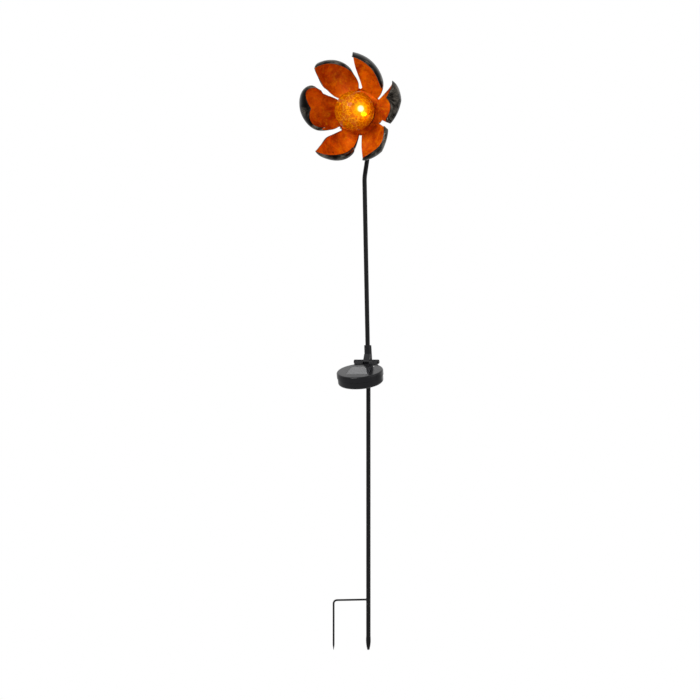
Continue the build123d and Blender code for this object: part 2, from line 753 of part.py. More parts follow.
with BuildPart() as circuit_board:
    with BuildSketch(panel_plane.offset(board_z)):
        with Locations((0, board_y)):
            Rectangle(board[0], board[1])
    extrude(amount=board[2])
    with BuildSketch(panel_plane.offset(board_z + board[2])):
        with Locations((-6, board_y), (6, board_y + 3), (7, board_y - 4)):
            Rectangle(5, 4)
    extrude(amount=1.6)
write(circuit_board, "circuit_board")

with BuildPart() as switch_housing:
    with BuildSketch(panel_plane.offset(floor_z)):
        with Locations((0, switch_y)):
            Rectangle(switch_body[0], switch_body[1])
    extrude(amount=switch_body[2])
    with BuildSketch(panel_plane.offset(floor_z)):
        with Locations((0, switch_y)):
            Rectangle(room[0], room[1])
    extrude(amount=room[2], mode=Mode.SUBTRACT)
write(switch_housing, "switch_housing")

with BuildPart() as switch_knob:
    with BuildSketch(panel_plane.offset(tub_bottom - knob_proud)):
        with Locations((-knob_travel / 2, switch_y)):
            Rectangle(knob[0], knob[1])
    extrude(amount=tub_floor + knob_proud + seat_gap)
    with BuildSketch(panel_plane.offset(floor_z + seat_gap)):
        with Locations((-knob_travel / 2, switch_y)):
            Rectangle(knob_flange[0], knob_flange[1])
    extrude(amount=knob_flange[2])
write(switch_knob, "switch_knob")

print(f"flower centre {bloom_centre}, panel top {panel_top}")
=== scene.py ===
"""Solar garden light: the finishes, the enamelled flower, its crackle globe, the light sensor's pip
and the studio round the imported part."""
import math

import bmesh
import bpy
from mathutils import Matrix, Vector


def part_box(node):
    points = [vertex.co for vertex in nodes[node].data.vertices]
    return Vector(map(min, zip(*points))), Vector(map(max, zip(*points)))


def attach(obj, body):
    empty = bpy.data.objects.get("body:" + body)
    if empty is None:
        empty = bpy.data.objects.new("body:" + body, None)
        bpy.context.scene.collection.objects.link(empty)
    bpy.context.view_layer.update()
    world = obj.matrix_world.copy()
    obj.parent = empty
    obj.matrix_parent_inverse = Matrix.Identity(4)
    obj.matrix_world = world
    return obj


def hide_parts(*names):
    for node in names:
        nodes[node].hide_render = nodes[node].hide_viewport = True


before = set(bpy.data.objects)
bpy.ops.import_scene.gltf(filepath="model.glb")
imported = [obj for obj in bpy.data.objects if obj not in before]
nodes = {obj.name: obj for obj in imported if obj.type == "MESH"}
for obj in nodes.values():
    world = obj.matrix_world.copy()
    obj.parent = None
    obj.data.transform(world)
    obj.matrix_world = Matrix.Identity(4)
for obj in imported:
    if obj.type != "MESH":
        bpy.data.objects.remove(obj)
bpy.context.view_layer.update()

MM = 0.001

# ---- camera and studio, in metres and watts ----
CAMERA_TURN = 16.5  # degrees round the light, from straight in front
CAMERA_REACH = 6.0
CAMERA_SIGHT = 100.0  # the farthest that the camera sees
FRAME_WIDE = 1.12
AIM_RIGHT = -0.0294  # the view's middle, beside the lower pole's axis
AIM_HEIGHT = 0.4007
FLOOR_HALF = 15.0
FLOOR_DROP = 0.0005  # the floor lies this far under the lower pole's point
SKY_LEVEL = 0.62  # how brightly the sky lights matt surfaces
KEY_WATTS = 30.0
FILL_WATTS = 7.0

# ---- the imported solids' shading ----
WELD_REACH = 0.00001  # metres
CREASE_ANGLE = math.radians(32)

# ---- the flower's frame, as in the part's source, in millimetres and degrees ----
BLOOM_TURN = 7.0
BLOOM_PITCH = 8.0
BLOOM_CENTRE = Vector((-8.396, -17.093, 780.376))
SHEET_T = 0.8
CREASE_R = 35.2
PETAL_TIP_W = 1.2
SLIT_R = 1.6
SLIT_GAP = 1.0
SLIT_SHARE = 0.3
SLIT_EASE = 90.0
HOLE_R = 24.2
ROOT_FOLD = 1.0
ROLL_POWER = 4  # a high power keeps the roll close to the petal's edge
# Each petal: where it points round the flower (turn), how its middle line twists and sways, its
# slope at the crease (rise) and at the tip (curl) and how late it bends (ramp), its length, its
# half width at the crease (root) and at its widest (half, at place) and how it narrows from there
# (taper), how it is cupped across (root_k, cup_k, cup_place), its fold along the middle (keel,
# keel_ramp), and the width (sides) and the rolled edge (rolls) of its two sides
PETALS = [
    dict(turn=10.6, twist=-18, sway=4, rise=6, curl=169, ramp=1.94, length=93, root=15.9,
         half=38.9, place=0.63, taper=1.7, root_k=0.008, cup_k=0.017,
         cup_place=0.24, keel=33, keel_ramp=3.6, sides=(1.12, 0.92), rolls=(0.2, 0.6)),
    dict(turn=61.7, twist=-6, sway=21, rise=20, curl=125, ramp=1.39, length=113, root=16.4,
         half=37.5, place=0.43, taper=2.1, root_k=0.017, cup_k=0.022,
         cup_place=0.22, keel=0, keel_ramp=3.5, sides=(1.18, 0.92), rolls=(0.5, 0.0)),
    dict(turn=120.9, twist=17, sway=16, rise=1, curl=140, ramp=1.60, length=106, root=16.2,
         half=42.0, place=0.45, taper=2.4, root_k=0.023, cup_k=0.034,
         cup_place=0.25, keel=35, keel_ramp=3.6, sides=(1.04, 1.09), rolls=(0.4, 0.2)),
    dict(turn=183.8, twist=19, sway=2, rise=36, curl=189, ramp=2.22, length=118, root=17.2,
         half=52.2, place=0.71, taper=1.4, root_k=0.010, cup_k=0.019,
         cup_place=0.21, keel=0, keel_ramp=2.6, sides=(1.12, 1.09), rolls=(1.5, 0.9)),
    dict(turn=252.5, twist=-30, sway=-16, rise=12, curl=116, ramp=1.21, length=107, root=15.8,
         half=38.3, place=0.44, taper=2.5, root_k=0.031, cup_k=0.025,
         cup_place=0.55, keel=38, keel_ramp=3.3, sides=(1.05, 1.02), rolls=(1.2, 2.0)),
    dict(turn=303.9, twist=23, sway=15, rise=17, curl=129, ramp=2.57, length=85, root=17.8,
         half=38.4, place=0.80, taper=2.5, root_k=0.017, cup_k=0.015,
         cup_place=0.32, keel=27, keel_ramp=3.9, sides=(0.93, 1.08), rolls=(0.4, 0.2)),
]
AXIS = Matrix.Rotation(math.radians(-BLOOM_TURN), 3, "Z") @ Matrix.Rotation(
    math.radians(90 - BLOOM_PITCH), 3, "X") @ Vector((0, 0, 1))
RIGHT = Matrix.Rotation(math.radians(-BLOOM_TURN), 3, "Z") @ Vector((1, 0, 0))
UP = AXIS.cross(RIGHT)

# ---- the globe and the panel's light sensor, in millimetres ----
BALL_R = 32.0
BALL_STAND = 23.0
NECK_R = 12.0
NECK_DEPTH = 14.0
NECK_EDGE = 1.0
# the painted glow spot on the globe's wall, standing in for the lamp seen through the glass
GLOW_OUT = 24.0  # the bright spot, from the globe's middle along the flower's axis
GLOW_SIDE = 21.0  # and towards the flower's right
PANEL_TOP = Vector((0, -48.564, 368.042))
PANEL_TILT = math.radians(18.5)
PIP_R = 1.1
PIP_AT = (17.6, 20.7)  # from the lid's middle, to the right and to the rear

# ---- how finely the pieces are divided, and how near their doubles lie, in millimetres ----
COLUMNS = 32
MIDDLE = COLUMNS // 2
ROWS = 84
PLATE_ROWS = 18
ROW_EASE = 1.2  # above 1, the rows crowd towards the crease
ARC_SHARE = 0.4  # of the plate's rows, round the slits' ends
SPINE_STEPS = 60
ARC_STEPS = 48
SPIN_STEPS = 96
SHEET_MERGE = 0.02
GLOBE_MERGE = 0.005

# ---- a Mix node's sockets: its share, then its pairs, then its results ----
SHARE = 0
NUMBER_A, NUMBER_B = 2, 3
VECTOR_A, VECTOR_B = 4, 5
COLOUR_A, COLOUR_B = 6, 7
MIXED_NUMBER, MIXED_VECTOR, MIXED_COLOUR = 0, 1, 2


# ================= materials =================
def linear(code):
    """An sRGB hex colour as a linear RGBA value."""
    parts = [int(code[i:i + 2], 16) / 255 for i in (0, 2, 4)]
    return [c / 12.92 if c <= 0.04045 else ((c + 0.055) / 1.055) ** 2.4 for c in parts] + [1.0]


def add_node(tree, kind, inputs=None, **properties):
    """Adds a shader node; an input's value is either a plain value or another node's socket."""
    made = tree.nodes.new("ShaderNode" + kind)
    for name, value in properties.items():
        setattr(made, name, value)
    for name, value in (inputs or {}).items():
        if isinstance(value, bpy.types.NodeSocket):
            tree.links.new(value, made.inputs[name])
        else:
            made.inputs[name].default_value = value
    return made


def new_material(name):
    """A material with an empty tree, its output node and its texture coordinates."""
    material = bpy.data.materials.new(name)
    material.use_nodes = True
    tree = material.node_tree
    tree.nodes.clear()
    output = add_node(tree, "OutputMaterial")
    place = add_node(tree, "TexCoord")
    return material, tree, output, place


def plain_finish(name, light, dark, roughness, grain_mm, bump=0.15, metallic=0.0, spread=0.08,
                 **sockets):
    """Two close shades mixed in soft patches, with a fine grain in the roughness and the bump."""
    material, tree, output, place = new_material(name)
    here = place.outputs["Object"]
    patches = add_node(tree, "TexNoise", {
        "Vector": here, "Scale": 1 / (18 * MM), "Detail": 4.0})
    grain = add_node(tree, "TexNoise", {
        "Vector": here, "Scale": 1 / (grain_mm * MM), "Detail": 2.0})
    colour = add_node(tree, "Mix", {
        SHARE: patches.outputs[0], COLOUR_A: linear(dark), COLOUR_B: linear(light)},
        data_type="RGBA")
    gloss = add_node(tree, "MapRange", {
        "Value": grain.outputs[0], "From Min": 0.3, "From Max": 0.7,
        "To Min": roughness - spread, "To Max": roughness + spread})
    relief = add_node(tree, "Bump", {
        "Height": grain.outputs[0], "Strength": bump, "Distance": 0.05 * MM})
    shader = add_node(tree, "BsdfPrincipled", {
        "Base Color": colour.outputs[MIXED_COLOUR], "Roughness": gloss.outputs[0],
        "Normal": relief.outputs[0], "Metallic": metallic, **sockets})
    tree.links.new(shader.outputs[0], output.inputs[0])
    return material


# Steel tube and rod, powder coated: near black, half gloss, with the faint orange peel of the
# baked powder
powder_coat = plain_finish("powder_coated_steel_tube", "0f0f10", "090909", 0.38, 0.9, bump=0.2,
                           **{"Specular IOR Level": 0.14})
# Weld bead under the same powder: the bead's ripples break the shine up
coated_weld = plain_finish("powder_coated_weld_bead", "161616", "0c0c0c", 0.5, 1.1, bump=0.8)
# ABS, injection moulded with a fine spark-eroded texture: black, satin
moulded_abs = plain_finish("injection_moulded_abs", "111114", "0b0b0e", 0.36, 0.5, bump=0.15,
                           **{"Specular IOR Level": 0.18})
# ABS of the panel's two shells, moulded in a polished tool: blue-black and glossy, so that it
# mirrors pale surroundings at a low angle
polished_abs = plain_finish("polished_moulded_abs", "0d0d11", "09090c", 0.17, 1.6, bump=0.03,
                            spread=0.03, **{"Specular IOR Level": 0.2})
# EPDM rubber, moulded: matt black
rubber = plain_finish("moulded_epdm_rubber", "1b1b1b", "101010", 0.75, 0.3, bump=0.4)
# Low carbon steel, deep drawn and blackened: dark grey with soft drawing marks
blackened_steel = plain_finish("deep_drawn_blackened_steel", "4a4743", "2c2a28", 0.36, 0.7,
                               bump=0.2, metallic=1.0)
# Steel, turned and zinc plated: bluish silver
zinc_steel = plain_finish("zinc_plated_turned_steel", "b9bcc0", "8f9296", 0.3, 0.3, metallic=1.0)
# Glass epoxy laminate with a printed solder mask: glossy dark green
solder_mask = plain_finish("solder_masked_glass_epoxy", "1f5a34", "174828", 0.35, 0.4)
# PVC sleeve, extruded: satin black round the lamp's lead
pvc_jacket = plain_finish("extruded_pvc_jacket", "1c1c1c", "141414", 0.45, 0.4)
# PVC sleeve shrunk on the rechargeable cell: plain green with a soft shine
shrink_sleeve = plain_finish("shrunk_pvc_sleeve", "2f7d4c", "25663d", 0.3, 0.8)


def silicon_finish():
    """Monocrystalline silicon, etched and printed: blue-black with fine silver fingers, one every
    3.4 mm."""
    material, tree, output, place = new_material("printed_monocrystalline_silicon")
    low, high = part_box("solar_cell")
    middle = (Vector(low) + Vector(high)) / 2
    centred = add_node(tree, "Mapping", {"Vector": place.outputs["Object"], "Location": -middle})
    axes = add_node(tree, "SeparateXYZ", {"Vector": centred.outputs[0]})
    cells = add_node(tree, "TexNoise", {
        "Vector": centred.outputs[0], "Scale": 1 / (9 * MM), "Detail": 3.0})
    silicon = add_node(tree, "Mix", {
        SHARE: cells.outputs[0], COLOUR_A: linear("070b18"), COLOUR_B: linear("101830")},
        data_type="RGBA")
    stripe = add_node(tree, "Math", {0: axes.outputs["X"], 1: 1.7 * MM}, operation="PINGPONG")
    finger = add_node(tree, "MapRange", {
        "Value": stripe.outputs[0], "From Min": 0.0, "From Max": 0.12 * MM,
        "To Min": 0.35, "To Max": 0.0})
    colour = add_node(tree, "Mix", {
        SHARE: finger.outputs[0], COLOUR_A: silicon.outputs[MIXED_COLOUR],
        COLOUR_B: linear("9aa0a8")}, data_type="RGBA")
    shader = add_node(tree, "BsdfPrincipled", {
        "Base Color": colour.outputs[MIXED_COLOUR], "Roughness": 0.35, "Metallic": 0.2})
    tree.links.new(shader.outputs[0], output.inputs[0])
    return material


def window_finish():
    """Epoxy resin, cast over the cell: clear, faintly smoky, flat and glossy."""
    material, tree, output, place = new_material("cast_clear_epoxy")
    wave = add_node(tree, "TexNoise", {
        "Vector": place.outputs["Object"], "Scale": 1 / (14 * MM), "Detail": 1.0})
    relief = add_node(tree, "Bump", {
        "Height": wave.outputs[0], "Strength": 0.01, "Distance": 0.2 * MM})
    shade = add_node(tree, "Mix", {
        SHARE: wave.outputs[0], COLOUR_A: linear("707076"), COLOUR_B: linear("7c7c82")},
        data_type="RGBA")
    shader = add_node(tree, "BsdfPrincipled", {
        "Base Color": shade.outputs[MIXED_COLOUR], "Roughness": 0.04, "IOR": 1.5,
        "Transmission Weight": 0.9, "Normal": relief.outputs[0]})
    tree.links.new(shader.outputs[0], output.inputs[0])
    return material


def enamel_finish():
    """Transparent orange enamel, sprayed by hand on steel and fired: thick and bright in places,
    thin and rusty red in others, with a soft gloss."""
    material, tree, output, place = new_material("sprayed_fired_enamel")
    here = place.outputs["Object"]
    # broad drifts of thick and thin enamel, about 34 mm across
    drift = add_node(tree, "TexNoise", {
        "Vector": here, "Scale": 1 / (34 * MM), "Detail": 5.0, "Roughness": 0.6,
        "Distortion": 0.8})
    depth = add_node(tree, "MapRange", {
        "Value": drift.outputs[0], "From Min": 0.36, "From Max": 0.64})
    base = add_node(tree, "Mix", {
        SHARE: depth.outputs[0], COLOUR_A: linear("a63200"), COLOUR_B: linear("ec6a00")},
        data_type="RGBA")
    # flecks up to 7 mm across where the spray pooled
    fleck = add_node(tree, "TexNoise", {
        "Vector": here, "Scale": 1 / (7 * MM), "Detail": 6.0, "Roughness": 0.7})
    pool = add_node(tree, "MapRange", {
        "Value": fleck.outputs[0], "From Min": 0.5, "From Max": 0.78, "To Max": 0.55})
    warm = add_node(tree, "Mix", {
        SHARE: pool.outputs[0], COLOUR_A: base.outputs[MIXED_COLOUR],
        COLOUR_B: linear("ffa800")}, data_type="RGBA")
    # thin brown scorch marks between the flecks
    scorch = add_node(tree, "MapRange", {
        "Value": fleck.outputs[0], "From Min": 0.42, "From Max": 0.3, "To Max": 0.6})
    colour = add_node(tree, "Mix", {
        SHARE: scorch.outputs[0], COLOUR_A: warm.outputs[MIXED_COLOUR],
        COLOUR_B: linear("6e1c00")}, data_type="RGBA")
    relief = add_node(tree, "Bump", {
        "Height": fleck.outputs[0], "Strength": 0.35, "Distance": 0.3 * MM})
    gloss = add_node(tree, "MapRange", {
        "Value": fleck.outputs[0], "From Min": 0.3, "From Max": 0.7,
        "To Min": 0.55, "To Max": 0.35})
    shader = add_node(tree, "BsdfPrincipled", {
        "Base Color": colour.outputs[MIXED_COLOUR], "Roughness": gloss.outputs[0],
        "Metallic": 0.2, "Specular IOR Level": 0.05, "Normal": relief.outputs[0]})
    tree.links.new(shader.outputs[0], output.inputs[0])
    return material


def antique_finish():
    """Steel sheet, blackened then brushed back by hand: brown-black patches and silver streaks
    along the petal, spread at random; the silver streaks are partly painted highlights."""
    material, tree, output, place = new_material("brushed_blackened_steel_sheet")
    here = place.outputs["Object"]
    along = add_node(tree, "Mapping", {
        "Vector": place.outputs["UV"], "Scale": (60.0, 3.0, 1.0)})
    strokes = add_node(tree, "TexNoise", {
        "Vector": along.outputs[0], "Scale": 1.6, "Detail": 6.0, "Roughness": 0.65})
    cloud = add_node(tree, "TexNoise", {
        "Vector": here, "Scale": 1 / (26 * MM), "Detail": 3.0})
    # silver streaks: steel brushed back to the metal, partly painted highlights
    rub_and_highlight = add_node(tree, "Math", {
        0: strokes.outputs[0], 1: cloud.outputs[0]}, operation="MULTIPLY")
    bare_and_highlight = add_node(tree, "MapRange", {
        "Value": rub_and_highlight.outputs[0], "From Min": 0.25, "From Max": 0.42})
    colour = add_node(tree, "Mix", {
        SHARE: bare_and_highlight.outputs[0], COLOUR_A: linear("100e0c"), COLOUR_B: linear("8c8479")},
        data_type="RGBA")
    gloss = add_node(tree, "MapRange", {
        "Value": strokes.outputs[0], "From Min": 0.3, "From Max": 0.7,
        "To Min": 0.22, "To Max": 0.38})
    relief = add_node(tree, "Bump", {
        "Height": strokes.outputs[0], "Strength": 0.12, "Distance": 0.2 * MM})
    shader = add_node(tree, "BsdfPrincipled", {
        "Base Color": colour.outputs[MIXED_COLOUR], "Roughness": gloss.outputs[0],
        "Metallic": 1.0, "Normal": relief.outputs[0]})
    tree.links.new(shader.outputs[0], output.inputs[0])
    return material


def crackle_finish():
    """Amber glass, blown, then quenched so that it crazes: a clear skin over a net of fractures
    about 7 mm apart, painted bright as painted lamp light, and a finer one of about 3 mm; the
    lamp's glow through the glass is painted on the wall."""
    material, tree, output, place = new_material("quenched_crackle_glass")
    here = place.outputs["Object"]
    # the fractures wander, as real ones do
    bend = add_node(tree, "TexNoise", {"Vector": here, "Scale": 1 / (7 * MM), "Detail": 5.0})
    strayed = add_node(tree, "Mix", {
        SHARE: 0.009, VECTOR_A: here, VECTOR_B: bend.outputs["Color"]}, data_type="VECTOR")
    wide = add_node(tree, "TexVoronoi", {
        "Vector": strayed.outputs[MIXED_VECTOR], "Scale": 1 / (7.5 * MM)},
        feature="DISTANCE_TO_EDGE")
    fine = add_node(tree, "TexVoronoi", {
        "Vector": strayed.outputs[MIXED_VECTOR], "Scale": 1 / (2.9 * MM)},
        feature="DISTANCE_TO_EDGE")
    crack = add_node(tree, "MapRange", {
        "Value": wide.outputs[0], "From Min": 0.0, "From Max": 0.12,
        "To Min": 0.75, "To Max": 0.0})
    craze = add_node(tree, "MapRange", {
        "Value": fine.outputs[0], "From Min": 0.0, "From Max": 0.14,
        "To Min": 0.8, "To Max": 0.0})
    # darker and lighter amber in blotches about 9 mm across
    blotch = add_node(tree, "TexNoise", {
        "Vector": here, "Scale": 1 / (9 * MM), "Detail": 5.0, "Roughness": 0.65})
    dark = add_node(tree, "MapRange", {
        "Value": blotch.outputs[0], "From Min": 0.58, "From Max": 0.7})
    amber = add_node(tree, "Mix", {
        SHARE: blotch.outputs[0], COLOUR_A: linear("9c3400"), COLOUR_B: linear("e07800")},
        data_type="RGBA")
    # the main fractures, painted bright yellow as painted lamp light caught in them
    lined = add_node(tree, "Mix", {
        SHARE: crack.outputs[0], COLOUR_A: amber.outputs[MIXED_COLOUR],
        COLOUR_B: linear("ffb000")}, data_type="RGBA")
    crazed = add_node(tree, "Mix", {
        SHARE: craze.outputs[0], COLOUR_A: lined.outputs[MIXED_COLOUR],
        COLOUR_B: linear("b05400")}, data_type="RGBA")
    colour = add_node(tree, "Mix", {
        SHARE: dark.outputs[0], COLOUR_A: crazed.outputs[MIXED_COLOUR],
        COLOUR_B: linear("6e2400")}, data_type="RGBA")
    # painted glow: a bright spot, a ring round it and a wider glow are painted on the wall where
    # the lamp's cone leaves it, standing in for the lamp shining through the glass
    painted_spot_centre = (BLOOM_CENTRE + AXIS * (BALL_STAND + GLOW_OUT) + RIGHT * GLOW_SIDE) * MM
    reach = add_node(tree, "VectorMath", {0: here, 1: painted_spot_centre}, operation="DISTANCE")
    glow = add_node(tree, "MapRange", {
        "Value": reach.outputs["Value"], "From Min": 4 * MM, "From Max": 34 * MM,
        "To Min": 0.9, "To Max": 0.05}, interpolation_type="SMOOTHSTEP")
    painted_hot_spot = add_node(tree, "MapRange", {
        "Value": reach.outputs["Value"], "From Min": 2.5 * MM, "From Max": 7 * MM,
        "To Min": 1.0, "To Max": 0.0}, interpolation_type="SMOOTHSTEP")
    painted_halo_mask = add_node(tree, "MapRange", {
        "Value": reach.outputs["Value"], "From Min": 6 * MM, "From Max": 17 * MM,
        "To Min": 0.75, "To Max": 0.0}, interpolation_type="SMOOTHSTEP")
    yellow = add_node(tree, "Mix", {
        SHARE: painted_halo_mask.outputs[0], COLOUR_A: colour.outputs[MIXED_COLOUR],
        COLOUR_B: linear("ffb400")}, data_type="RGBA")
    shine = add_node(tree, "Mix", {
        SHARE: painted_hot_spot.outputs[0], COLOUR_A: yellow.outputs[MIXED_COLOUR],
        COLOUR_B: linear("fff3b0")}, data_type="RGBA")
    power = add_node(tree, "Math", {0: painted_hot_spot.outputs[0], 1: glow.outputs[0]}, operation="ADD")
    relief = add_node(tree, "Bump", {
        "Height": crack.outputs[0], "Strength": 0.35, "Distance": 0.3 * MM})
    ripple = add_node(tree, "Bump", {
        "Height": craze.outputs[0], "Strength": 0.25, "Distance": 0.15 * MM,
        "Normal": relief.outputs[0]})
    shader = add_node(tree, "BsdfPrincipled", {
        "Base Color": colour.outputs[MIXED_COLOUR], "Roughness": 0.1, "IOR": 1.03,
        "Transmission Weight": 0.18, "Coat Weight": 0.15, "Coat Roughness": 0.03,
        "Coat IOR": 1.5, "Normal": ripple.outputs[0],
        "Emission Color": shine.outputs[MIXED_COLOUR], "Emission Strength": power.outputs[0]})
    tree.links.new(shader.outputs[0], output.inputs[0])
    return material


def lens_finish():
    """Epoxy lens of a warm white diode, cast: it glows yellow-white from inside."""
    material, tree, output, place = new_material("cast_epoxy_led_lens")
    haze = add_node(tree, "TexNoise", {
        "Vector": place.outputs["Object"], "Scale": 1 / (2 * MM)})
    warm = add_node(tree, "Mix", {
        SHARE: haze.outputs[0], COLOUR_A: linear("ffd873"), COLOUR_B: linear("fff2c0")},
        data_type="RGBA")
    shader = add_node(tree, "BsdfPrincipled", {
        "Base Color": warm.outputs[MIXED_COLOUR], "Roughness": 0.15,
        "Emission Color": warm.outputs[MIXED_COLOUR], "Emission Strength": 40.0})
    tree.links.new(shader.outputs[0], output.inputs[0])
    return material


silicon = silicon_finish()
clear_resin = window_finish()
enamel = enamel_finish()
antique_steel = antique_finish()
# The cut edge of the sheet, ground bright and lacquered
ground_edge = plain_finish("ground_steel_edge", "8d867b", "4a453f", 0.35, 0.5, metallic=1.0)
crackle_glass = crackle_finish()
led_lens = lens_finish()
# Epoxy pip of the light sensor, cast: pale and glossy
sensor_epoxy = plain_finish("cast_epoxy_sensor_pip", "c9c9c2", "b4b4ae", 0.12, 0.4, bump=0.02,
                            spread=0.02)

NODE_FINISH = {
    "lower_pole": powder_coat, "step_prong": powder_coat, "upper_pole": powder_coat,
    "weld_bead": coated_weld,
    "coupler": moulded_abs, "hinge_pin": moulded_abs, "hinge_nut": moulded_abs,
    "panel_lid": polished_abs, "panel_base": polished_abs, "battery_door": polished_abs,
    "switch_housing": moulded_abs, "switch_knob": moulded_abs, "lamp_socket": moulded_abs,
    "housing_seal": rubber, "ball_seal": rubber,
    "back_cup": blackened_steel,
    "stem_nut": zinc_steel, "housing_screws": zinc_steel, "door_screw": zinc_steel,
    "contact_plus": zinc_steel, "contact_minus": zinc_steel,
    "led_board": solder_mask, "circuit_board": solder_mask,
    "led": led_lens, "led_lead": pvc_jacket, "battery": shrink_sleeve,
    "solar_cell": silicon, "cell_window": clear_resin,
}
for name, material in NODE_FINISH.items():
    solid = nodes[name]
    solid.data.materials.clear()
    solid.data.materials.append(material)
    for face in solid.data.polygons:
        face.use_smooth = True
    weld = solid.modifiers.new("weld", "WELD")
    weld.merge_threshold = WELD_REACH
    crease = solid.modifiers.new("crease", "EDGE_SPLIT")
    crease.split_angle = CREASE_ANGLE


def add_object(name, data):
    """Puts a new object into the scene."""
    made = bpy.data.objects.new(name, data)
    bpy.context.scene.collection.objects.link(made)
    return made


# ================= flower =================
def finish_piece(name, mesh_data, materials, body, slot, *replaced):
    """Turns a bmesh in millimetres into a piece in metres that rides on a body."""
    bmesh.ops.scale(mesh_data, vec=(MM, MM, MM), verts=mesh_data.verts)
    mesh = bpy.data.meshes.new(name)
    mesh_data.to_mesh(mesh)
    mesh_data.free()
    piece = add_object(name, mesh)
    for material in materials:
        mesh.materials.append(material)
    for face in mesh.polygons:
        face.use_smooth = True
    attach(piece, body)
    if replaced:
        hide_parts(*replaced)
    return piece


def lean(petal, s):
    """Slope of a petal's middle line at the fraction s of its length."""
    return math.radians(petal["rise"] + (petal["curl"] - petal["rise"]) * s ** petal["ramp"])


def spine(petal, s):
    """Distance out from the crease, height and slope of a petal's middle line at the fraction s."""
    out = 0.0
    up = 0.0
    for i in range(SPINE_STEPS):
        slope = lean(petal, s * (i + 0.5) / SPINE_STEPS)
        out += math.cos(slope) * petal["length"] * s / SPINE_STEPS
        up += math.sin(slope) * petal["length"] * s / SPINE_STEPS
    return out, up, lean(petal, s)


def half_width(petal, s, side, out):
    """Half width of the petal's sheet on one side, measured round its curve."""
    if s < petal["place"]:
        swell = math.sin(math.pi / 2 * s / petal["place"])
        wide = petal["root"] + (petal["half"] - petal["root"]) * swell
    else:
        beyond = (s - petal["place"]) / (1 - petal["place"])
        wide = petal["half"] * (1 - beyond ** petal["taper"])
    spread = math.tan(petal["steps"][side] / 2)
    root = (CREASE_R * spread - SLIT_GAP) * max(1 - s / SLIT_SHARE, 0)
    between = (CREASE_R + max(out, 0)) * spread - SLIT_GAP + SLIT_EASE * max(s - SLIT_SHARE, 0)
    return max(min(max(wide * petal["sides"][side], root), between), PETAL_TIP_W)


def petal_axes(petal):
    """The directions outward along a petal and across it, in the plane of the plate."""
    turn = math.radians(petal["turn"])
    outward = RIGHT * math.cos(turn) + UP * math.sin(turn)
    across = UP * math.cos(turn) - RIGHT * math.sin(turn)
    return outward, across


def petal_row(petal, s):
    """Points in the middle of the sheet along one cross section, from edge to edge of the petal."""
    outward, across = petal_axes(petal)
    out, up, slope = spine(petal, s)
    origin = BLOOM_CENTRE + outward * (CREASE_R - SHEET_T + out) + AXIS * (up - SHEET_T / 2)
    origin = origin + across * (petal["sway"] * s * s)
    inward = AXIS * math.cos(slope) - outward * math.sin(slope)
    twist = math.radians(petal["twist"] * s)
    x_dir = across * math.cos(twist) + inward * math.sin(twist)
    y_dir = inward * math.cos(twist) - across * math.sin(twist)
    # the cup eases in from the crease
    blend = min(s / petal["cup_place"], 1)
    k = petal["root_k"] + (petal["cup_k"] - petal["root_k"]) * blend * blend * (3 - 2 * blend)
    keel = math.radians(ROOT_FOLD + petal["keel"] * s ** petal["keel_ramp"])
    row = {MIDDLE: origin}
    for side, sign in enumerate((-1, 1)):
        wide = half_width(petal, s, side, out)
        step = wide / MIDDLE
        x = 0.0
        y = 0.0
        for i in range(MIDDLE):
            part = (i + 0.5) / MIDDLE
            bend = keel + wide * k * (part + petal["rolls"][side] * part ** ROLL_POWER)
            x += math.cos(bend) * step
            y += math.sin(bend) * step
            row[MIDDLE + sign * (i + 1)] = origin + x_dir * (sign * x) + y_dir * y
    return row


def plate_row(petal, t, edge):
    """Points of the plate between two slits: t is 0 at the crease and 1 at the globe's hole."""
    crease = CREASE_R - SHEET_T
    outward, across = petal_axes(petal)
    ends = []
    for sign, step in zip((-1, 1), petal["steps"]):
        half = step / 2
        far = crease / math.cos(half)
        if t < ARC_SHARE:
            swing = t / ARC_SHARE * (math.pi / 2 - half)
            ends.append((crease - SLIT_R * math.sin(swing),
                         sign * (crease * math.tan(half) - SLIT_R * math.cos(swing))))
        else:
            ends.append(((far - SLIT_R) * math.cos(half), sign * (far - SLIT_R) * math.sin(half)))
    q = max(t - ARC_SHARE, 0) / (1 - ARC_SHARE)
    row = {}
    for column in range(COLUMNS + 1):
        share = column / COLUMNS
        a = ends[0][0] + (ends[1][0] - ends[0][0]) * share
        b = ends[0][1] + (ends[1][1] - ends[0][1]) * share
        angle = -petal["steps"][0] / 2 + (petal["steps"][0] + petal["steps"][1]) / 2 * share
        a += (HOLE_R * math.cos(angle) - a) * q
        b += (HOLE_R * math.sin(angle) - b) * q
        lift = (edge[column] - BLOOM_CENTRE).dot(AXIS) + SHEET_T / 2
        lift = lift * max(1 - t / ARC_SHARE, 0) ** 2
        row[column] = BLOOM_CENTRE + outward * a + across * b + AXIS * (lift - SHEET_T / 2)
    return row


# the angles from each petal to its two neighbours
for i, petal in enumerate(PETALS):
    before = (petal["turn"] - PETALS[i - 1]["turn"]) % 360
    after = (PETALS[(i + 1) % len(PETALS)]["turn"] - petal["turn"]) % 360
    petal["steps"] = (math.radians(before), math.radians(after))

flower_mesh = bmesh.new()
flower_mesh.loops.layers.uv.new("along_petal")
for petal in PETALS:
    grid = bmesh.ops.create_grid(flower_mesh, x_segments=COLUMNS, y_segments=ROWS, size=1,
                                 calc_uvs=True)
    edge = petal_row(petal, 0.0)
    rows = {}
    for vert in grid["verts"]:
        column = round((vert.co.x + 1) / 2 * COLUMNS)
        line = round((vert.co.y + 1) / 2 * ROWS)
        if line not in rows:
            v = (line - PLATE_ROWS) / (ROWS - PLATE_ROWS)
            if v >= 0:
                rows[line] = petal_row(petal, v ** ROW_EASE)
            else:
                rows[line] = plate_row(petal, 1 - line / PLATE_ROWS, edge)
        vert.co = rows[line][column]
bmesh.ops.remove_doubles(flower_mesh, verts=flower_mesh.verts, dist=SHEET_MERGE)
bmesh.ops.recalc_face_normals(flower_mesh, faces=flower_mesh.faces)
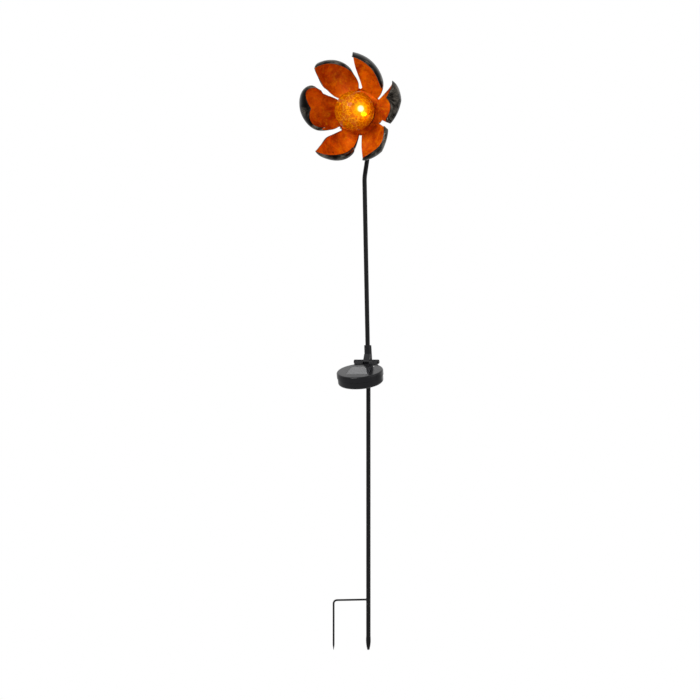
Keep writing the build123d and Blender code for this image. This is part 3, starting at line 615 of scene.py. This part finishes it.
# the enamelled face looks out along the flower's axis
plate_face = min(flower_mesh.faces,
                 key=lambda face: (face.calc_center_median() - BLOOM_CENTRE).length)
if plate_face.normal.dot(AXIS) < 0:
    bmesh.ops.reverse_faces(flower_mesh, faces=flower_mesh.faces)
flower = finish_piece("flower", flower_mesh, [enamel, antique_steel, ground_edge], "head",
                      "bloom_enamel", "bloom")
sheet = flower.modifiers.new("sheet", "SOLIDIFY")
sheet.thickness = SHEET_T * MM
sheet.offset = 0
sheet.material_offset = 1
sheet.material_offset_rim = 2

# ================= globe =================
# The blown globe and its neck, spun from a half profile round the flower's axis
globe_mesh = bmesh.new()
profile = []
neck_top = math.asin(NECK_R / BALL_R)
for i in range(ARC_STEPS + 1):
    angle = (math.pi - neck_top) * i / ARC_STEPS
    profile.append((BALL_R * math.sin(angle), BALL_STAND + BALL_R * math.cos(angle)))
profile.append((NECK_R, -NECK_DEPTH + NECK_EDGE))
profile.append((NECK_R - NECK_EDGE, -NECK_DEPTH))
profile.append((0, -NECK_DEPTH))
points = [globe_mesh.verts.new(BLOOM_CENTRE + RIGHT * r + AXIS * h) for r, h in profile]
edges = [globe_mesh.edges.new(pair) for pair in zip(points, points[1:])]
bmesh.ops.spin(globe_mesh, geom=points + edges, cent=BLOOM_CENTRE, axis=AXIS, angle=math.tau,
               steps=SPIN_STEPS, use_merge=True)
bmesh.ops.remove_doubles(globe_mesh, verts=globe_mesh.verts, dist=GLOBE_MERGE)
bmesh.ops.recalc_face_normals(globe_mesh, faces=globe_mesh.faces)
finish_piece("crackle_globe", globe_mesh, [crackle_glass], "head", "amber_glass", "glass_ball")

# ================= light sensor =================
# The clear pip over the light sensor: a low dome let into the lid, behind and beside the cell
panel_normal = Vector((0, -math.sin(PANEL_TILT), math.cos(PANEL_TILT)))
panel_rear = Vector((0, math.cos(PANEL_TILT), math.sin(PANEL_TILT)))
pip_right, pip_rear = PIP_AT
pip_centre = (PANEL_TOP + Vector((1, 0, 0)) * pip_right + panel_rear * pip_rear
              - panel_normal * (PIP_R / 2))
pip_mesh = bmesh.new()
bmesh.ops.create_uvsphere(pip_mesh, u_segments=32, v_segments=16, radius=PIP_R)
bmesh.ops.translate(pip_mesh, verts=pip_mesh.verts, vec=pip_centre)
finish_piece("sensor_pip", pip_mesh, [sensor_epoxy], "panel", "clear_resin")

# ================= studio =================
floor_mesh = bmesh.new()
bmesh.ops.create_grid(floor_mesh, x_segments=2, y_segments=2, size=FLOOR_HALF)
bmesh.ops.translate(floor_mesh, verts=floor_mesh.verts,
                    vec=(0, 0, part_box("lower_pole")[0].z - FLOOR_DROP))
floor_data = bpy.data.meshes.new("floor")
floor_mesh.to_mesh(floor_data)
floor_mesh.free()
floor = add_object("floor", floor_data)
# Seamless paper: matt white
paper, tree, output, place = new_material("matt_studio_paper")
fibre = add_node(tree, "TexNoise", {
    "Vector": place.outputs["Object"], "Scale": 1 / (1.5 * MM)})
tone = add_node(tree, "Mix", {
    SHARE: fibre.outputs[0], COLOUR_A: linear("f2f2f2"), COLOUR_B: linear("f8f8f8")},
    data_type="RGBA")
shader = add_node(tree, "BsdfDiffuse", {"Color": tone.outputs[MIXED_COLOUR]})
tree.links.new(shader.outputs[0], output.inputs[0])
floor_data.materials.append(paper)

world = bpy.data.worlds.new("studio")
world.use_nodes = True
sky = world.node_tree
sky.nodes.clear()
path = add_node(sky, "LightPath")
# what the camera, gloss and clear resin see is white; what lights matt surfaces is a plainer level
mirrored = add_node(sky, "Math", {
    0: path.outputs["Is Camera Ray"], 1: path.outputs["Is Glossy Ray"]}, operation="MAXIMUM")
seen = add_node(sky, "Math", {
    0: mirrored.outputs[0], 1: path.outputs["Is Transmission Ray"]}, operation="MAXIMUM")
level = add_node(sky, "Mix", {SHARE: seen.outputs[0], NUMBER_A: SKY_LEVEL, NUMBER_B: 1.0})
backdrop = add_node(sky, "Background", {
    "Color": (1, 1, 1, 1), "Strength": level.outputs[MIXED_NUMBER]})
add_node(sky, "OutputWorld", {"Surface": backdrop.outputs[0]})
bpy.context.scene.world = world

turn = math.radians(CAMERA_TURN)
view_right = Vector((math.cos(turn), math.sin(turn), 0))
view_back = Vector((math.sin(turn), -math.cos(turn), 0))
aim = view_right * AIM_RIGHT + Vector((0, 0, AIM_HEIGHT))


def soft_box(name, right, back, height, size, watts):
    """A square soft light aimed at the middle of the object."""
    data = bpy.data.lights.new(name, "AREA")
    data.size = size
    data.energy = watts
    lamp = add_object(name, data)
    lamp.location = aim + view_right * right + view_back * back + Vector((0, 0, height))
    lamp.rotation_euler = (lamp.location - aim).to_track_quat("Z", "Y").to_euler()


soft_box("key", right=-1.1, back=1.6, height=1.6, size=1.0, watts=KEY_WATTS)
soft_box("fill", right=1.6, back=1.0, height=0.3, size=1.4, watts=FILL_WATTS)

camera_data = bpy.data.cameras.new("camera")
camera_data.type = "ORTHO"
camera_data.ortho_scale = FRAME_WIDE
camera_data.clip_end = CAMERA_SIGHT
camera = add_object("camera", camera_data)
camera.location = aim + view_back * CAMERA_REACH
camera.rotation_euler = view_back.to_track_quat("Z", "Y").to_euler()
bpy.context.scene.camera = camera

bpy.context.scene.view_settings.view_transform = "Standard"

bpy.context.view_layer.update()
